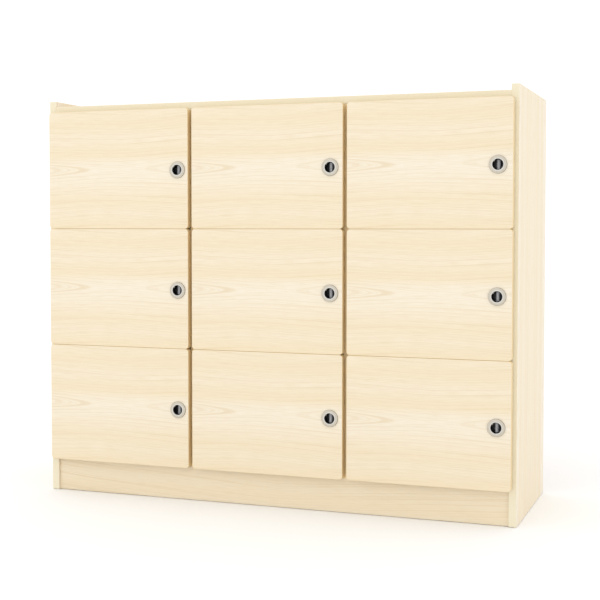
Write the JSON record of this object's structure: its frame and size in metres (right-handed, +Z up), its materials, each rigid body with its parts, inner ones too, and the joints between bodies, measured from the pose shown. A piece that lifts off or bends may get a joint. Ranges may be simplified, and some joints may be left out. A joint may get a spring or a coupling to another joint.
{
  "type": "coin operated locker",
  "caption": "Free-standing laminated-board locker cabinet with a grid of overlay doors, each on concealed hinges with a round coin lock.",
  "frame": {"origin": "centre of the cabinet's footprint box, on the floor", "axes": "+Z up, +X to the right when facing the doors, the doors face -Y"},
  "size_m": [1.2, 0.4236, 1],
  "materials": {
    "maple_board": "pale wood-grain melamine laminate, satin",
    "door_board": "pale wood-grain melamine laminate, satin",
    "back_board": "thin fibreboard with wood-grain foil",
    "beech_dowel": "fluted beech",
    "glide_plastic": "moulded nylon",
    "hinge_steel": "nickel-plated pressed steel",
    "screw_steel": "nickel-plated steel",
    "strike_steel": "zinc-plated sheet steel",
    "lock_metal": "die-cast zinc, satin silver lacquer",
    "plug_metal": "satin chrome-plated die casting",
    "bolt_steel": "zinc-plated steel"
  },
  "bodies": {
    "carcass": {"side_panel_left": "maple_board", "side_panel_right": "maple_board", "top_panel": "maple_board", "bottom_panel": "maple_board", "divider_left": "maple_board", "divider_right": "maple_board", "shelves": "maple_board", "back_panel": "back_board", "plinth_boards": "maple_board", "joint_dowels": "beech_dowel", "floor_glides": "glide_plastic", "hinge_arms": "hinge_steel", "hinge_plates": "hinge_steel", "plate_screws": "screw_steel", "strike_plates": "strike_steel"},
    "door_r1c1": {"door_panel_r1c1": "door_board", "hinge_cups_r1c1": "hinge_steel", "coin_lock_r1c1": "lock_metal"},
    "plug_r1c1": {"lock_plug_r1c1": "plug_metal"},
    "bolt_r1c1": {"lock_bolt_r1c1": "bolt_steel"},
    "door_r1c2": {"door_panel_r1c2": "door_board", "hinge_cups_r1c2": "hinge_steel", "coin_lock_r1c2": "lock_metal"},
    "plug_r1c2": {"lock_plug_r1c2": "plug_metal"},
    "bolt_r1c2": {"lock_bolt_r1c2": "bolt_steel"},
    "door_r1c3": {"door_panel_r1c3": "door_board", "hinge_cups_r1c3": "hinge_steel", "coin_lock_r1c3": "lock_metal"},
    "plug_r1c3": {"lock_plug_r1c3": "plug_metal"},
    "bolt_r1c3": {"lock_bolt_r1c3": "bolt_steel"},
    "door_r2c1": {"door_panel_r2c1": "door_board", "hinge_cups_r2c1": "hinge_steel", "coin_lock_r2c1": "lock_metal"},
    "plug_r2c1": {"lock_plug_r2c1": "plug_metal"},
    "bolt_r2c1": {"lock_bolt_r2c1": "bolt_steel"},
    "door_r2c2": {"door_panel_r2c2": "door_board", "hinge_cups_r2c2": "hinge_steel", "coin_lock_r2c2": "lock_metal"},
    "plug_r2c2": {"lock_plug_r2c2": "plug_metal"},
    "bolt_r2c2": {"lock_bolt_r2c2": "bolt_steel"},
    "door_r2c3": {"door_panel_r2c3": "door_board", "hinge_cups_r2c3": "hinge_steel", "coin_lock_r2c3": "lock_metal"},
    "plug_r2c3": {"lock_plug_r2c3": "plug_metal"},
    "bolt_r2c3": {"lock_bolt_r2c3": "bolt_steel"},
    "door_r3c1": {"door_panel_r3c1": "door_board", "hinge_cups_r3c1": "hinge_steel", "coin_lock_r3c1": "lock_metal"},
    "plug_r3c1": {"lock_plug_r3c1": "plug_metal"},
    "bolt_r3c1": {"lock_bolt_r3c1": "bolt_steel"},
    "door_r3c2": {"door_panel_r3c2": "door_board", "hinge_cups_r3c2": "hinge_steel", "coin_lock_r3c2": "lock_metal"},
    "plug_r3c2": {"lock_plug_r3c2": "plug_metal"},
    "bolt_r3c2": {"lock_bolt_r3c2": "bolt_steel"},
    "door_r3c3": {"door_panel_r3c3": "door_board", "hinge_cups_r3c3": "hinge_steel", "coin_lock_r3c3": "lock_metal"},
    "plug_r3c3": {"lock_plug_r3c3": "plug_metal"},
    "bolt_r3c3": {"lock_bolt_r3c3": "bolt_steel"}
  },
  "joints": [
    {"name": "door_r1c1_swing", "type": "hinge", "parent": "carcass", "child": "door_r1c1", "pos_m": [-0.5845, -0.20105, 0.82338], "axis": [0, 0, -1], "range_deg": [0, 95]},
    {"name": "plug_r1c1_turn", "type": "hinge", "parent": "door_r1c1", "child": "plug_r1c1", "pos_m": [-0.2315, -0.19825, 0.81988], "axis": [0, 1, 0], "range_deg": [0, 90]},
    {"name": "bolt_r1c1_slide", "type": "slide", "parent": "door_r1c1", "child": "bolt_r1c1", "axis": [1, 0, 0], "range_m": [0, 0.015]},
    {"name": "door_r1c2_swing", "type": "hinge", "parent": "carcass", "child": "door_r1c2", "pos_m": [-0.1875, -0.20105, 0.82338], "axis": [0, 0, -1], "range_deg": [0, 95]},
    {"name": "plug_r1c2_turn", "type": "hinge", "parent": "door_r1c2", "child": "plug_r1c2", "pos_m": [0.1625, -0.19825, 0.81988], "axis": [0, 1, 0], "range_deg": [0, 90]},
    {"name": "bolt_r1c2_slide", "type": "slide", "parent": "door_r1c2", "child": "bolt_r1c2", "axis": [1, 0, 0], "range_m": [0, 0.015]},
    {"name": "door_r1c3_swing", "type": "hinge", "parent": "carcass", "child": "door_r1c3", "pos_m": [0.2095, -0.20105, 0.82338], "axis": [0, 0, -1], "range_deg": [0, 95]},
    {"name": "plug_r1c3_turn", "type": "hinge", "parent": "door_r1c3", "child": "plug_r1c3", "pos_m": [0.5565, -0.19825, 0.81988], "axis": [0, 1, 0], "range_deg": [0, 90]},
    {"name": "bolt_r1c3_slide", "type": "slide", "parent": "door_r1c3", "child": "bolt_r1c3", "axis": [1, 0, 0], "range_m": [0, 0.015]},
    {"name": "door_r2c1_swing", "type": "hinge", "parent": "carcass", "child": "door_r2c1", "pos_m": [-0.5845, -0.20105, 0.52775], "axis": [0, 0, -1], "range_deg": [0, 95]},
    {"name": "plug_r2c1_turn", "type": "hinge", "parent": "door_r2c1", "child": "plug_r2c1", "pos_m": [-0.2315, -0.19825, 0.52425], "axis": [0, 1, 0], "range_deg": [0, 90]},
    {"name": "bolt_r2c1_slide", "type": "slide", "parent": "door_r2c1", "child": "bolt_r2c1", "axis": [1, 0, 0], "range_m": [0, 0.015]},
    {"name": "door_r2c2_swing", "type": "hinge", "parent": "carcass", "child": "door_r2c2", "pos_m": [-0.1875, -0.20105, 0.52775], "axis": [0, 0, -1], "range_deg": [0, 95]},
    {"name": "plug_r2c2_turn", "type": "hinge", "parent": "door_r2c2", "child": "plug_r2c2", "pos_m": [0.1625, -0.19825, 0.52425], "axis": [0, 1, 0], "range_deg": [0, 90]},
    {"name": "bolt_r2c2_slide", "type": "slide", "parent": "door_r2c2", "child": "bolt_r2c2", "axis": [1, 0, 0], "range_m": [0, 0.015]},
    {"name": "door_r2c3_swing", "type": "hinge", "parent": "carcass", "child": "door_r2c3", "pos_m": [0.2095, -0.20105, 0.52775], "axis": [0, 0, -1], "range_deg": [0, 95]},
    {"name": "plug_r2c3_turn", "type": "hinge", "parent": "door_r2c3", "child": "plug_r2c3", "pos_m": [0.5565, -0.19825, 0.52425], "axis": [0, 1, 0], "range_deg": [0, 90]},
    {"name": "bolt_r2c3_slide", "type": "slide", "parent": "door_r2c3", "child": "bolt_r2c3", "axis": [1, 0, 0], "range_m": [0, 0.015]},
    {"name": "door_r3c1_swing", "type": "hinge", "parent": "carcass", "child": "door_r3c1", "pos_m": [-0.5845, -0.20105, 0.23212], "axis": [0, 0, -1], "range_deg": [0, 95]},
    {"name": "plug_r3c1_turn", "type": "hinge", "parent": "door_r3c1", "child": "plug_r3c1", "pos_m": [-0.2315, -0.19825, 0.22862], "axis": [0, 1, 0], "range_deg": [0, 90]},
    {"name": "bolt_r3c1_slide", "type": "slide", "parent": "door_r3c1", "child": "bolt_r3c1", "axis": [1, 0, 0], "range_m": [0, 0.015]},
    {"name": "door_r3c2_swing", "type": "hinge", "parent": "carcass", "child": "door_r3c2", "pos_m": [-0.1875, -0.20105, 0.23212], "axis": [0, 0, -1], "range_deg": [0, 95]},
    {"name": "plug_r3c2_turn", "type": "hinge", "parent": "door_r3c2", "child": "plug_r3c2", "pos_m": [0.1625, -0.19825, 0.22862], "axis": [0, 1, 0], "range_deg": [0, 90]},
    {"name": "bolt_r3c2_slide", "type": "slide", "parent": "door_r3c2", "child": "bolt_r3c2", "axis": [1, 0, 0], "range_m": [0, 0.015]},
    {"name": "door_r3c3_swing", "type": "hinge", "parent": "carcass", "child": "door_r3c3", "pos_m": [0.2095, -0.20105, 0.23212], "axis": [0, 0, -1], "range_deg": [0, 95]},
    {"name": "plug_r3c3_turn", "type": "hinge", "parent": "door_r3c3", "child": "plug_r3c3", "pos_m": [0.5565, -0.19825, 0.22862], "axis": [0, 1, 0], "range_deg": [0, 90]},
    {"name": "bolt_r3c3_slide", "type": "slide", "parent": "door_r3c3", "child": "bolt_r3c3", "axis": [1, 0, 0], "range_m": [0, 0.015]}
  ],
  "couplings": [
    {"joint": "bolt_r1c1_slide", "follows": "plug_r1c1_turn", "m_per_rad": 0.00954},
    {"joint": "bolt_r1c2_slide", "follows": "plug_r1c2_turn", "m_per_rad": 0.00954},
    {"joint": "bolt_r1c3_slide", "follows": "plug_r1c3_turn", "m_per_rad": 0.00954},
    {"joint": "bolt_r2c1_slide", "follows": "plug_r2c1_turn", "m_per_rad": 0.00954},
    {"joint": "bolt_r2c2_slide", "follows": "plug_r2c2_turn", "m_per_rad": 0.00954},
    {"joint": "bolt_r2c3_slide", "follows": "plug_r2c3_turn", "m_per_rad": 0.00954},
    {"joint": "bolt_r3c1_slide", "follows": "plug_r3c1_turn", "m_per_rad": 0.00954},
    {"joint": "bolt_r3c2_slide", "follows": "plug_r3c2_turn", "m_per_rad": 0.00954},
    {"joint": "bolt_r3c3_slide", "follows": "plug_r3c3_turn", "m_per_rad": 0.00954}
  ]
}
